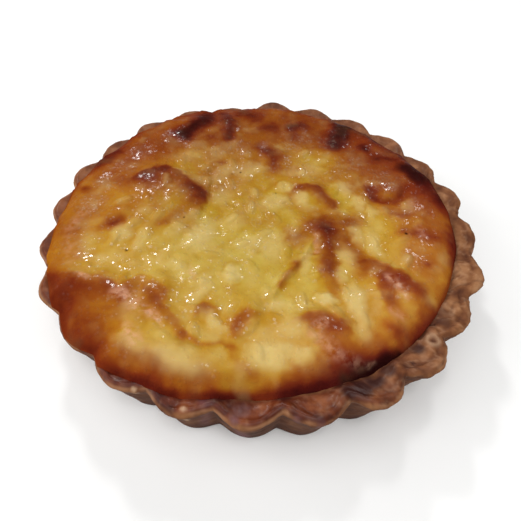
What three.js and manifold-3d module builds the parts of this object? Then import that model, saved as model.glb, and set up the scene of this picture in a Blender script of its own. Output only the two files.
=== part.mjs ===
// A rice tartlet: a fluted shortcrust case filled with baked rice custard, whose puffed skin has spilled over
// the lip on one side and shrunk away from it on the other.
// Millimetres, +Z up, origin at the middle of the flat underside.
import * as THREE from "three";
import { mergeVertices } from "three/addons/utils/BufferGeometryUtils.js";
import Module from "manifold-3d";

// ---- The case ----
const LIP_RADIUS = 60.5; // to the crests of the flutes
const FOOT_RADIUS = 55.1; // to the crests of the flutes, at the foot
const CASE_HEIGHT = 20;
const FLUTES = 24;
const FIRST_FLUTE = -1.2; // degrees from +X to a crest
const FLUTE_DEPTH = 3.5; // crest to valley at the lip
const FOOT_FLUTE_DEPTH = 2.5;
const SHALLOW_FLUTES = 0.6; // share of that depth where the pastry has slumped
const SLUMPS = [-10, -140]; // degrees
const SLUMP_SPREAD = 28; // degrees
const FLUTE_UNEVENNESS = 0.3; // of each crest's radius, either way
const NOTCH_ANGLE = -54; // one valley is pressed in deeper than the rest
const NOTCH_DEPTH = 1.7;
const NOTCH_SPREAD = 3.2; // degrees
// Where the lip bulges out or in: angle and spread in degrees, amount.
const BULGES = [
  [52, 22, 0.7],
  [138, 14, 0.7],
  [104, 8, -0.9],
  [-151, 9, 1.0],
  [-88, 26, -0.7],
  [-60, 7, 0.7],
];
const FLUTE_ROUNDNESS = 0.6; // below 1, crests are broad and valleys sharp
const FOOT_BEVEL = 1.3;
const FLOOR = 3.6; // thickness of the pastry under the filling
const INNER_RADIUS = 53; // of the filling's hollow, where the lip's inner slope begins
const INNER_SHIFT = 1; // how far that hollow lies off centre
const INNER_SHIFT_ANGLE = 120; // degrees from +X
const INNER_FLUTE_DEPTH = 0.8;
const INNER_FLOOR_RADIUS = 49;
const SLOPE_DROP = 3; // height of the inner slope under the lip
const THICK_SLOPE_DROP = 1.4; // and where the pastry is thickest
const LIP_WIDTH = 2.3;
const THICK_LIP = 2.6; // extra width where the pastry is thickest
const THICK_LIP_ANGLE = -28;
const THICK_LIP_SPREAD = 34; // degrees
const LIP_ROUNDING = 1.2;
const LIP_WAVINESS = 0.5; // height of the lip's uneven top, either way
const RAISED_FLUTE_ANGLE = 88; // one crest stands higher than the rest
const RAISED_FLUTE = 1.5;
const RAISED_FLUTE_SPREAD = 6; // degrees

// ---- The filling ----
const GAP = 0.35; // between the filling and the pastry that it fills
const PUFF = 2.7; // the skin's height over the lip, near the edge
const SUNK = 0.9; // and in the middle
const SUNK_RADIUS = 12;
const PUFF_RADIUS = 43;
const SHOULDER = 6.5; // width of the skin's rounded edge
// The skin's edge, from +X towards +Y: over 57 it has spilled over the lip.
const SKIN_EDGE = [
  54.6, 55.2, 55.2, 55.2, 55.8, 57.8, 57.2, 56.8, 56.8, 58.6, 60.4, 57.2, 53.2, 52.4, 52.6, 52.9,
];
const LEAST_COVER = 0.6; // how far the skin's edge at least lies past the hollow's wall
const LIP_MARGIN = 0.2; // and inside the lip's outer edge
// Blisters, folds and dips of the skin: x, y, half length, half width, angle in degrees, height.
const SWELLS = [
  [-31, 4, 15, 12, 60, 1.7],
  [-12, 5, 11, 4, 85, -0.7],
  [-4, 14, 12, 7, 0, -0.5],
  [3, 27, 5, 4, -50, 1.0],
  [15, 11, 8, 3.5, -38, 1.1],
  [17, -4, 8, 5, 12, 1.7],
  [17, -15, 8, 3, 90, 1.1],
  [8, -19, 11, 1.6, 62, 0.6],
  [-2, -33, 4.5, 2.6, 80, 1.1],
  [15, -37, 7.5, 5.5, -12, 1.4],
  [34, -23, 8, 5, -42, 1.1],
  [33, -36, 5, 4, 0, 0.8],
  [36, 13, 6, 5, 0, 1.1],
  [46, -6, 7, 5, 80, 0.7],
  [-13, 43, 7, 2.8, 98, 1.0],
  [-26, 41, 6, 4, 35, 1.0],
  [10, 43, 5, 4, 75, 0.8],
  [25, 40, 7, 4, 70, 1.0],
  [46, 21, 6, 4, -60, 0.8],
  [33, 33, 4, 3, 60, 0.7],
  [-28, -36, 14, 6, -42, 1.3],
  [-14, -46, 12, 4, -6, 0.9],
  [-45, -27, 9, 5, -12, 1.0],
  [-41, -4, 4.5, 3.2, 20, 0.8],
  [23, -45, 11, 5, 18, 0.9],
  [-24, -27, 6, 2.4, -58, 0.7],
  [-20, 50, 14, 5, 22, -0.7],
];

// ---- The rice ----
const GRAINS = 92;
const GRAIN_LENGTH = 6.2;
const GRAIN_WIDTH = 3;
const GRAIN_SUNK = 0.77; // share of its thickness that is under the skin
const LEAST_GRAIN = 0.85; // size of the smallest grain, as a share of those dimensions
const LARGEST_GRAIN = 1.15;
const GRAIN_FIELD = 44; // radius of the part of the skin that shows grains
const GRAIN_STRAY = 1.6; // width of the band in which a grain lies in or out of its place
const GRAIN_SIDES = 6;
const GOLDEN_ANGLE = 137.508; // degrees from one grain to the next

// ---- Fineness ----
const SECTORS = 144;
const WALL_LEVELS = [0.08, 0.45, 0.8];
const SHOULDER_STEPS = [0, 0.06, 0.2, 0.42, 0.7];
const SKIN_RINGS = 19;

const TURN = 2 * Math.PI;
const radians = THREE.MathUtils.degToRad;
const mix = THREE.MathUtils.lerp;

// A repeatable draw from 0 to 1 for a whole number.
function draw(number) {
  const s = Math.sin(number * 12.9898 + 4.1414) * 43758.5453;
  return s - Math.floor(s);
}

// 1 at an angle, falling to 0 a few spreads away from it.
function near(angle, degrees, spread) {
  const away = Math.atan2(Math.sin(angle - radians(degrees)), Math.cos(angle - radians(degrees)));
  return Math.exp(-((away / radians(spread)) ** 2));
}

// From -1 to 1, a smooth change from each flute to the next.
function perFlute(angle, seed) {
  const place = ((angle - radians(FIRST_FLUTE)) / TURN) * FLUTES;
  const flute = Math.floor(place);
  const share = THREE.MathUtils.smoothstep(place - flute, 0, 1);
  const value = (n) => 2 * draw(seed + ((n % FLUTES) + FLUTES) % FLUTES) - 1;
  return mix(value(flute), value(flute + 1), share);
}

// 1 on a flute's crest, 0 in the valley beside it.
function scallop(angle) {
  return Math.abs(Math.cos((FLUTES / 2) * (angle - radians(FIRST_FLUTE)))) ** (2 * FLUTE_ROUNDNESS);
}

// ---- The case's surfaces, each at an angle round the axis ----
function bulge(angle) {
  return BULGES.reduce((sum, [degrees, spread, amount]) => sum + amount * near(angle, degrees, spread), 0);
}

// The wall's radius at a share of its height.
function outerRadius(angle, share) {
  const unevenness = bulge(angle) + FLUTE_UNEVENNESS * perFlute(angle, 100);
  const crest = mix(FOOT_RADIUS, LIP_RADIUS, share) + share * unevenness;
  const slump = SLUMPS.reduce((sum, degrees) => sum + near(angle, degrees, SLUMP_SPREAD), 0);
  const depth = mix(FOOT_FLUTE_DEPTH, FLUTE_DEPTH, share) * mix(1, SHALLOW_FLUTES, slump);
  const notch = NOTCH_DEPTH * near(angle, NOTCH_ANGLE, NOTCH_SPREAD);
  return crest - depth * (1 - scallop(angle)) - notch;
}

function lipHeight(angle) {
  const raised = RAISED_FLUTE * near(angle, RAISED_FLUTE_ANGLE, RAISED_FLUTE_SPREAD);
  return CASE_HEIGHT + LIP_WAVINESS * perFlute(angle, 300) + raised;
}

function innerRadius(angle) {
  const shift = INNER_SHIFT * Math.cos(angle - radians(INNER_SHIFT_ANGLE));
  return INNER_RADIUS + shift - INNER_FLUTE_DEPTH * (1 - scallop(angle));
}

// The hollow's foot, its top and the lip, as [radius, height] points that run up and then outwards.
function hollowSection(angle) {
  const thick = near(angle, THICK_LIP_ANGLE, THICK_LIP_SPREAD);
  const outer = outerRadius(angle, 1);
  const width = LIP_WIDTH + THICK_LIP * thick;
  const top = lipHeight(angle);
  const slopeFoot = top - mix(SLOPE_DROP, THICK_SLOPE_DROP, thick);
  return [
    [INNER_FLOOR_RADIUS, FLOOR],
    [innerRadius(angle), slopeFoot],
    [outer - width, top - 0.5 * LIP_ROUNDING],
    [outer - 0.5 * width, top],
    [outer - 0.15 * width, top - 0.35 * LIP_ROUNDING],
    [outer, top - LIP_ROUNDING],
  ];
}

function caseSection(angle) {
  const wall = WALL_LEVELS.map((share) => [outerRadius(angle, share), share * CASE_HEIGHT]);
  const foot = [outerRadius(angle, 0) - FOOT_BEVEL, 0];
  return [foot, ...wall, ...hollowSection(angle).reverse()];
}

// ---- The skin of the filling ----
function skinEdge(angle) {
  const place = ((angle / TURN + 1) % 1) * SKIN_EDGE.length;
  const at = (n) => SKIN_EDGE[(Math.floor(place) + n + SKIN_EDGE.length) % SKIN_EDGE.length];
  return mix(at(0), at(1), THREE.MathUtils.smoothstep(place % 1, 0, 1));
}

function swell(x, y, [centreX, centreY, length, width, degrees, height]) {
  const along = (x - centreX) * Math.cos(radians(degrees)) + (y - centreY) * Math.sin(radians(degrees));
  const across = (y - centreY) * Math.cos(radians(degrees)) - (x - centreX) * Math.sin(radians(degrees));
  return height * Math.exp(-(((along / length) ** 2 + (across / width) ** 2) ** 1.3));
}

// The skin's height, apart from its rounded edge.
function skinHeight(x, y) {
  const dome = mix(SUNK, PUFF, THREE.MathUtils.smoothstep(Math.hypot(x, y), SUNK_RADIUS, PUFF_RADIUS));
  return CASE_HEIGHT + dome + SWELLS.reduce((sum, one) => sum + swell(x, y, one), 0);
}

// The pastry's height at a radius between the hollow and the outside of the lip.
function pastryHeight(angle, radius) {
  const line = hollowSection(angle).slice(1);
  const last = line.findIndex((point) => point[0] >= radius);
  const [a, b] = last < 1 ? line.slice(-2) : [line[last - 1], line[last]];
  return mix(a[1], b[1], Math.min(1, (radius - a[0]) / (b[0] - a[0])));
}

// How far out the skin goes at an angle.
function skinReach(angle) {
  const least = innerRadius(angle) + LEAST_COVER;
  return Math.min(Math.max(skinEdge(angle), least), outerRadius(angle, 1) - LIP_MARGIN);
}

// The hollow and the lip, moved into the filling by the gap.
function contactLine(angle) {
  const line = hollowSection(angle);
  const leftOf = (a, b) => {
    const length = Math.hypot(b[0] - a[0], b[1] - a[1]);
    return [(a[1] - b[1]) / length, (b[0] - a[0]) / length];
  };
  return line.map((point, i) => {
    if (i === 0) return [point[0] - GAP, point[1] + GAP];
    const before = leftOf(line[i - 1], point);
    const after = i === line.length - 1 ? before : leftOf(point, line[i + 1]);
    const middle = [before[0] + after[0], before[1] + after[1]];
    const scale = (2 * GAP) / (middle[0] ** 2 + middle[1] ** 2);
    return [point[0] + middle[0] * scale, point[1] + middle[1] * scale];
  });
}

// ---- Closed meshes from rings of points ----
function ring(count, pointAt) {
  return Array.from({ length: count }, (_, i) => {
    const angle = radians(FIRST_FLUTE) + (i / count) * TURN;
    const [radius, height] = pointAt(angle);
    return [radius * Math.cos(angle), radius * Math.sin(angle), height];
  });
}

// Joins rings of any counts, from a point under the middle, outwards, up and back to a point over it.
function loft(rings) {
  const positions = [];
  const faces = [];
  const numbers = rings.map((points) => points.map((point) => positions.push(...point) / 3 - 1));
  for (let r = 0; r + 1 < numbers.length; r++) {
    const [lower, upper] = [numbers[r], numbers[r + 1]];
    const [lowerSteps, upperSteps] = [lower, upper].map((one) => (one.length > 1 ? one.length : 0));
    let i = 0;
    let j = 0;
    while (i < lowerSteps || j < upperSteps) {
      const [a, b] = [lower[i % lower.length], upper[j % upper.length]];
      const stepLower = j >= upperSteps || (i < lowerSteps && (i + 1) / lowerSteps <= (j + 1) / upperSteps);
      if (stepLower) faces.push(a, lower[++i % lower.length], b);
      else faces.push(a, upper[++j % upper.length], b);
    }
  }
  const geometry = new THREE.BufferGeometry();
  geometry.setAttribute("position", new THREE.Float32BufferAttribute(positions, 3));
  geometry.setIndex(faces);
  return geometry;
}

function caseGeometry() {
  const levels = caseSection(0).length;
  const rings = Array.from({ length: levels }, (_, n) => ring(SECTORS, (angle) => caseSection(angle)[n]));
  return loft([[[0, 0, 0]], ...rings, [[0, 0, FLOOR]]]);
}

// The room that the filling leaves free: the case, grown by the gap and carried on outwards and down.
function caseRoomGeometry() {
  const far = 1.3 * LIP_RADIUS;
  const levels = hollowSection(0).length;
  const outside = [-1, CASE_HEIGHT - SLOPE_DROP].map((height) => ring(SECTORS, () => [far, height]));
  const inside = Array.from({ length: levels }, (_, n) => ring(SECTORS, (angle) => contactLine(angle)[n]));
  return loft([[[0, 0, -1]], ...outside, ...inside.reverse(), [[0, 0, FLOOR + GAP]]]);
}

function skinRing(count, insetAt) {
  return ring(count, (angle) => {
    const reach = skinReach(angle);
    const inset = insetAt(reach);
    const radius = reach - inset;
    const foot = pastryHeight(angle, reach) - GAP;
    const rise = Math.sqrt(1 - Math.max(0, 1 - inset / SHOULDER) ** 2);
    const lift = (lipHeight(angle) - CASE_HEIGHT) * Math.max(0, 1 - inset / (2 * SHOULDER));
    const full = skinHeight(radius * Math.cos(angle), radius * Math.sin(angle)) + lift;
    return [radius, mix(foot, full, rise)];
  });
}

// The filling before the case's room is cut from it: a drum with the skin on top.
function fillingGeometry() {
  const low = ring(SECTORS, (angle) => [skinReach(angle), 0.5 * FLOOR]);
  const shoulder = SHOULDER_STEPS.map((share) => skinRing(SECTORS, () => share * SHOULDER));
  const skin = Array.from({ length: SKIN_RINGS - 1 }, (_, n) => {
    const share = 1 - n / SKIN_RINGS;
    return skinRing(Math.round(6 * SKIN_RINGS * share), (reach) => reach - share * (reach - SHOULDER));
  });
  return loft([[[0, 0, 0.5 * FLOOR]], low, ...shoulder, ...skin, [[0, 0, skinHeight(0, 0)]]]);
}

// ---- Rice grains, fused to the skin ----
// A grain lies along X, widest in its middle half.
function grainGeometry() {
  const section = (share, width) =>
    Array.from({ length: GRAIN_SIDES }, (_, i) => {
      const angle = (i / GRAIN_SIDES) * TURN;
      return [share * GRAIN_LENGTH, 0.5 * width * Math.cos(angle), 0.5 * width * Math.sin(angle)];
    });
  return loft([
    [[-0.5 * GRAIN_LENGTH, 0, 0]],
    section(-0.26, GRAIN_WIDTH),
    section(0.26, GRAIN_WIDTH),
    [[0.5 * GRAIN_LENGTH, 0, 0]],
  ]);
}

// Where grain number n lies: a sunflower spiral, loosened by seeded draws.
function grainPlace(n) {
  const radius = GRAIN_FIELD * Math.sqrt((n + 0.5) / GRAINS) + GRAIN_STRAY * (draw(n + 500) - 0.5);
  const angle = radians(n * GOLDEN_ANGLE) + 0.12 * (draw(n + 600) - 0.5);
  return { x: radius * Math.cos(angle), y: radius * Math.sin(angle), turn: Math.PI * draw(n + 700) };
}

function grainMatrix(n) {
  const { x, y, turn } = grainPlace(n);
  const step = 0.4 * GRAIN_LENGTH;
  const ahead = skinHeight(x + step * Math.cos(turn), y + step * Math.sin(turn));
  const behind = skinHeight(x - step * Math.cos(turn), y - step * Math.sin(turn));
  const pitch = Math.atan2(ahead - behind, 2 * step);
  const height = 0.5 * (ahead + behind) + (0.5 - GRAIN_SUNK) * GRAIN_WIDTH;
  const size = mix(LEAST_GRAIN, LARGEST_GRAIN, draw(n + 800));
  return new THREE.Matrix4().compose(
    new THREE.Vector3(x, y, height),
    new THREE.Quaternion().setFromEuler(new THREE.Euler(0, -pitch, turn, "ZYX")),
    new THREE.Vector3(size, size, size),
  );
}

const wasm = await Module();
wasm.setup();

function toSolid(geometry) {
  const merged = mergeVertices(geometry, 1e-4);
  return new wasm.Manifold(
    new wasm.Mesh({
      numProp: 3,
      vertProperties: new Float32Array(merged.attributes.position.array),
      triVerts: new Uint32Array(merged.index.array),
    }),
  );
}

function toGeometry(solid) {
  const mesh = solid.getMesh();
  const geometry = new THREE.BufferGeometry();
  geometry.setAttribute("position", new THREE.BufferAttribute(mesh.vertProperties, 3));
  geometry.setIndex(new THREE.BufferAttribute(mesh.triVerts, 1));
  return geometry;
}

function filledWithRice() {
  const grain = grainGeometry();
  let solid = toSolid(fillingGeometry()).subtract(toSolid(caseRoomGeometry()));
  for (let n = 0; n < GRAINS; n++) solid = solid.add(toSolid(grain.clone().applyMatrix4(grainMatrix(n))));
  return toGeometry(solid);
}

const crustMaterial = new THREE.MeshStandardMaterial({ color: 0x9a6a47, roughness: 0.85, metalness: 0 });
const custardMaterial = new THREE.MeshStandardMaterial({ color: 0xc99a3c, roughness: 0.35, metalness: 0 });

const pastryCase = new THREE.Mesh(caseGeometry(), crustMaterial);
pastryCase.name = "pastry_case";

const riceFilling = new THREE.Mesh(filledWithRice(), custardMaterial);
riceFilling.name = "rice_filling";

const tartlet = new THREE.Group();
tartlet.add(pastryCase, riceFilling);

export default tartlet;
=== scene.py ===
"""A rice tartlet: a fluted shortcrust case filled with baked rice custard, at true size.

Shapes are worked out in millimetres in the part's own frame and handed to Blender in metres. The filling
replaces the solid rice_filling and the case replaces pastry_case. Both follow the solids' form with finer
relief, except that the case leaves out the one valley that is pressed in deeper on the solid.
"""

import itertools
import math

import bpy
import numpy as np
from mathutils import Matrix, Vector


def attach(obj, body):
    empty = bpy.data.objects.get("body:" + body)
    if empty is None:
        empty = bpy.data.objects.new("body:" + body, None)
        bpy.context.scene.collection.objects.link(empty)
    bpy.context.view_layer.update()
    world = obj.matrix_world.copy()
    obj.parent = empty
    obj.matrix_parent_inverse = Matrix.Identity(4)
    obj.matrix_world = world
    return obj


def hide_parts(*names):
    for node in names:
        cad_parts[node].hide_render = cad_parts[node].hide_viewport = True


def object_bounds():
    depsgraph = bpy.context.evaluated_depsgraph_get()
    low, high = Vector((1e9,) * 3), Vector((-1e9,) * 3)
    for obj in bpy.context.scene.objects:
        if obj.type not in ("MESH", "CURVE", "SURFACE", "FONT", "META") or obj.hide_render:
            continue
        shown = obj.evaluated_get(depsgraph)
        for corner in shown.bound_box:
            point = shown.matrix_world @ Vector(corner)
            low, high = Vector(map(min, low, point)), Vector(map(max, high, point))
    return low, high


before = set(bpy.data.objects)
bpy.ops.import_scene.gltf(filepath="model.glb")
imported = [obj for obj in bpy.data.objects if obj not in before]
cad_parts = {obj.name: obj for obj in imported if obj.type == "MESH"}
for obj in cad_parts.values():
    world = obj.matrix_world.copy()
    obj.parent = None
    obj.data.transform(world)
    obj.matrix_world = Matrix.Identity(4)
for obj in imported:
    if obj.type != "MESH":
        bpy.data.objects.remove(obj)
cad_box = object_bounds()

TURN = 2 * math.pi

# ---- The case, as in the solid but for its one deeper valley ----
LIP_RADIUS = 60.5
FOOT_RADIUS = 55.1
CASE_HEIGHT = 20
FLUTES = 24
FIRST_FLUTE = -1.2
FLUTE_DEPTH = 3.5
FOOT_FLUTE_DEPTH = 2.5
SHALLOW_FLUTES = 0.6
SLUMPS = [-10, -140]
SLUMP_SPREAD = 28
FLUTE_UNEVENNESS = 0.3
BULGES = [(52, 22, 0.7), (138, 14, 0.7), (104, 8, -0.9), (-151, 9, 1.0), (-88, 26, -0.7), (-60, 7, 0.7)]
FLUTE_ROUNDNESS = 0.6
FOOT_BEVEL = 1.3
FLOOR = 3.6
INNER_RADIUS = 53
INNER_SHIFT = 1
INNER_SHIFT_ANGLE = 120
INNER_FLUTE_DEPTH = 0.8
INNER_FLOOR_RADIUS = 49
SLOPE_DROP = 3
THICK_SLOPE_DROP = 1.4
LIP_WIDTH = 2.3
THICK_LIP = 2.6
THICK_LIP_ANGLE = -28
THICK_LIP_SPREAD = 34
LIP_ROUNDING = 1.2
LIP_WAVINESS = 0.5
RAISED_FLUTE_ANGLE = 88
RAISED_FLUTE = 1.5
RAISED_FLUTE_SPREAD = 6

# ---- The filling, as in the solid ----
GAP = 0.35
PUFF = 2.7
SUNK = 0.9
SUNK_RADIUS = 12
PUFF_RADIUS = 43
SHOULDER = 6.5
LEAST_COVER = 0.6  # how far the skin's edge at least lies past the hollow's wall
LIP_MARGIN = 0.2  # and inside the lip's outer edge
SKIN_EDGE = [54.6, 55.2, 55.2, 55.2, 55.8, 57.8, 57.2, 56.8, 56.8, 58.6, 60.4, 57.2, 53.2, 52.4, 52.6, 52.9]
SWELLS = [
    (-31, 4, 15, 12, 60, 1.7), (-12, 5, 11, 4, 85, -0.7), (-4, 14, 12, 7, 0, -0.5), (3, 27, 5, 4, -50, 1.0),
    (15, 11, 8, 3.5, -38, 1.1), (17, -4, 8, 5, 12, 1.7), (17, -15, 8, 3, 90, 1.1),
    (8, -19, 11, 1.6, 62, 0.6), (-2, -33, 4.5, 2.6, 80, 1.1), (15, -37, 7.5, 5.5, -12, 1.4),
    (34, -23, 8, 5, -42, 1.1), (33, -36, 5, 4, 0, 0.8), (36, 13, 6, 5, 0, 1.1), (46, -6, 7, 5, 80, 0.7),
    (-13, 43, 7, 2.8, 98, 1.0), (-26, 41, 6, 4, 35, 1.0), (10, 43, 5, 4, 75, 0.8), (25, 40, 7, 4, 70, 1.0),
    (46, 21, 6, 4, -60, 0.8), (33, 33, 4, 3, 60, 0.7), (-28, -36, 14, 6, -42, 1.3),
    (-14, -46, 12, 4, -6, 0.9), (-45, -27, 9, 5, -12, 1.0), (-41, -4, 4.5, 3.2, 20, 0.8),
    (23, -45, 11, 5, 18, 0.9), (-24, -27, 6, 2.4, -58, 0.7), (-20, 50, 14, 5, 22, -0.7),
]
GRAINS = 92
GRAIN_LENGTH = 6.2
GRAIN_WIDTH = 3.0
GRAIN_FIELD = 44
GOLDEN_ANGLE = 137.508

# ---- Relief that only shows here ----
GRAIN_RISE = 0.42  # height of a grain's back over the skin
CURDS = 330  # smaller lumps between the grains: length 2.5 to 5 mm
CURD_FIELD = 50
CURD_SEED = 11
CLOT_RISE = 0.48
FURROW_DEPTH = 0.06  # of the furrow around a clot
SKIN_LUMPS = 0.22  # height of soft lumps all over the skin
FINE_SKIN_LUMPS = 0.06
CHAR_CRUST = 0.15  # roughness of charred skin
CRINKLE = 0.14  # height of the crinkles
# Ridges and furrows of the skin: points, half width, height.
FOLDS = [
    ([(15, -8), (9, -18), (3, -28)], 0.7, 0.4), ([(-22, -38.5), (-17, -41.5), (-12, -42.5)], 0.9, -0.35),
    ([(-17, 18), (-15.5, 12), (-16, 5), (-17, -3)], 1, -0.35),
    ([(30, 15.5), (32, 9.5), (36, 7.5), (41, 10), (42.5, 14)], 1.6, -0.5),
]

# ---- Browning of the skin ----
# Marks are read on a level plane MARK_HEIGHT over the lip, along the photograph's lines of sight.
MARK_HEIGHT = 2
# How far the marks' outlines wander, in mm: in waves 5 mm and 1.8 mm long.
WARP = 0.9
FINE_WARP = 0.5
# Browned steps of puffs: points, width of the sharp side (left on the way along the points), reach of the
# soft side, strength of the brown, height of the step.
LEDGES = [
    ([(-38.5, 14), (-35, 16.8), (-31, 18.4), (-27, 16.6), (-23, 12.6), (-19.8, 9.4), (-18, 6.5),
      (-17.6, 3.5)], 1.6, 5, 0.5, 0.45),
    ([(9, 11), (12.3, 12.7), (15.3, 12.1), (18, 9), (20.5, 4.5)], 1.6, 3.2, 0.36, 0.35),
    ([(-53, -26), (-46.5, -25), (-39, -25), (-35.5, -27)], 1.6, 6, 0.16, 0.35),
    ([(-32.5, -27), (-29.5, -24.5), (-26.5, -25.7), (-24, -28.5)], 1.8, 4, 0.24, 0.3),
    ([(-26.5, -28), (-23, -32.5), (-19, -36.5), (-16.5, -41)], 1.4, 1.8, 0.26, 0.3),
    ([(27, -16), (30, -16.3), (33, -17), (36, -19)], 1.3, 2.4, 0.34, 0.3),
    ([(30.3, -28), (30.3, -24), (31, -20.5), (32.5, -18), (36, -20.5), (40.5, -25.5)], 1.6, 4, 0.28, 0.45),
    ([(8.5, -35), (12.3, -33.3), (17.7, -33.3), (20, -35.5), (20.6, -38)], 1.6, 3.2, 0.2, 0.45),
    ([(-5.5, -38.5), (-4.6, -35), (-2.8, -33), (-0.5, -33)], 1.4, 2.6, 0.16, 0.35),
    ([(-14.5, -34), (-12.8, -32.8), (-10.5, -33)], 1.4, 2.4, 0.2, 0.25),
]
# Brown marks: points, half width, softness, strength.
BROWN = [
    ([(-20.5, 10), (-18.8, 6.5)], 2, 2.4, 0.42),
    ([(11, 12.2), (14.8, 12), (17.3, 9.5), (19.8, 5.5)], 1.5, 1.6, 0.26),
    ([(-33, 17), (-30, 17.5)], 1.4, 2, 0.28), ([(-36, 13), (-30, 10)], 2.2, 3.2, 0.22),
    ([(9.5, -8.5), (12.5, -5.5), (17, -3)], 2.6, 3, 0.3),
    ([(14, -2.5), (21, -3), (25, -1.5)], 2.8, 2.6, 0.34), ([(18.5, -5), (18.5, -14)], 0.9, 1.3, 0.2),
    ([(16, 2), (17, -2)], 1, 2.4, 0.08), ([(17.4, -5), (17.4, -11), (17.2, -18)], 2.3, 2.2, 0.48),
    ([(17, -19), (18, -25)], 1.6, 2.6, 0.32), ([(8.8, -18.5), (5.2, -25)], 0.9, 1.3, 0.36),
    ([(13.5, -14), (9, -18)], 0.5, 1.2, 0.2), ([(-40.3, -5.5)], 1.6, 2.6, 0.42),
    ([(-39.5, -4.8), (-43, -8.5)], 1, 2.2, 0.28), ([(-25.5, -3.5), (-28, -5.5)], 0.8, 1.6, 0.28),
    ([(-51.5, -27), (-47, -31.5)], 3, 3.5, 0.42), ([(-45, -26.5), (-38, -28.5)], 2.2, 3.6, 0.2),
    ([(-37, -26.8)], 1, 1.6, 0.22), ([(-25, -27), (-23, -29)], 0.9, 1.6, 0.2),
    ([(-45, -34), (-38, -41)], 2.6, 3.6, 0.34), ([(-17.5, -40), (-12, -42), (-5, -42.8)], 0.5, 1.1, 0.3),
    ([(-45, -28), (-32, -30)], 1.6, 2.6, 0.2), ([(-5.5, -44.5), (-1, -49)], 1.2, 2.2, 0.26),
    ([(-3.2, -34.5), (-5, -38)], 1.6, 2.2, 0.34), ([(-12.6, -33)], 1.2, 1.8, 0.26),
    ([(32, -20), (36, -22.5), (39.5, -24.5)], 1.8, 2.2, 0.36), ([(31.5, -22), (31.5, -28)], 1.3, 1.8, 0.34),
    ([(32.3, -36)], 1.8, 2.2, 0.45), ([(34, -31.5)], 1.5, 2.2, 0.18), ([(29.5, -34.5)], 1.2, 2, 0.2),
    ([(12, -34.4), (15.5, -34.3), (19, -35.6)], 1.7, 2.4, 0.36),
    ([(16, -38), (17, -41), (21, -46)], 2.6, 3.6, 0.34), ([(38.5, -4)], 1, 1.6, 0.36),
    ([(43, -4.5), (48, -5.5)], 2, 3, 0.46), ([(43, -16)], 0.9, 1.4, 0.32),
    ([(52.5, -5), (49.8, -15)], 1, 1.6, 0.4), ([(-21.5, 46), (-24.5, 41.5), (-27, 38)], 3.2, 2.6, 0.72),
    ([(-29.5, 36.5), (-27, 34.5)], 2, 2.4, 0.5), ([(-14.8, 48), (-13, 42), (-12.8, 36.5)], 1.8, 1.8, 0.58),
    ([(-9, 50), (-5, 48)], 2.4, 2.6, 0.45), ([(-18.7, 35)], 1.5, 2.2, 0.33),
    ([(-13.7, 21.8)], 0.8, 1.4, 0.33), ([(-1.5, 42), (1.5, 43)], 1.8, 2.4, 0.46),
    ([(8, 43.5), (11.5, 44.3)], 1.8, 2.2, 0.5), ([(9, 41), (8, 36.5)], 1.2, 2.2, 0.28),
    ([(26, 45), (24.5, 40), (22.5, 35)], 3.2, 2.6, 0.7), ([(24, 45)], 2, 2, 0.4),
    ([(33, 41), (36, 38)], 2.2, 2.4, 0.4), ([(32.5, 33.6)], 1.7, 1.8, 0.6),
    ([(35, 28.3), (42, 28)], 1.2, 2, 0.45), ([(44.5, 23.5), (48.5, 19.5)], 2.2, 2, 0.75),
    ([(48.5, 17), (52, 8)], 2.2, 2.4, 0.5), ([(-47.5, 25), (-51.5, 18)], 1.3, 1.8, 0.58),
    ([(-52.5, 6.7)], 1.3, 1.8, 0.45), ([(36.5, 3.5), (41, 3)], 1.2, 2, 0.36),
    ([(31, 14), (32.3, 10), (35, 7.6), (38.6, 8.3), (41, 11.5)], 1, 1.8, 0.45),
    ([(31.5, 13), (33, 9.5)], 1.6, 1.8, 0.26), ([(-2, 31), (1.5, 28), (3, 21)], 1.6, 2.4, 0.4),
    ([(1, 29), (4, 26.5)], 2, 2.4, 0.3), ([(38, -38), (43, -31)], 0.5, 1.6, 0.12),
    ([(21, -49), (29, -46)], 2.2, 2.8, 0.6), ([(10, -50), (18, -46), (26, -42)], 3, 3.6, 0.34),
    ([(6, -53.5), (14, -52.5)], 0.8, 1.6, 0.4),
]
# How far the skin is merged with the glazed lip, from +X towards +Y.
MERGED = [0, 0, 0, 0, 0, 0, 0, 0, 0, 0, 0.4, 0.8, 1, 1, 0.5, 0]
MERGED_LINE = 0.68  # darkness of the skin's edge there
# Painted shade on the skin's edge elsewhere, along its gap to the lip, from +X towards +Y.
PAINTED_GAP_SHADE = [0.5, 0.7, 0.8, 0.8, 0.7, 0.7, 0.7, 0.5, 0.3, 0, 0, 0, 0, 0, 0, 0.3]
FURROW_TONE = 0.1  # darkening in the furrow around a clot
HIDDEN_BROWN = 0.85  # of the filling's faces under the skin
HALO = 0.28  # strength of the amber halo around a brown mark, as a share of the mark's
HALO_WIDTH = 1.6
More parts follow.
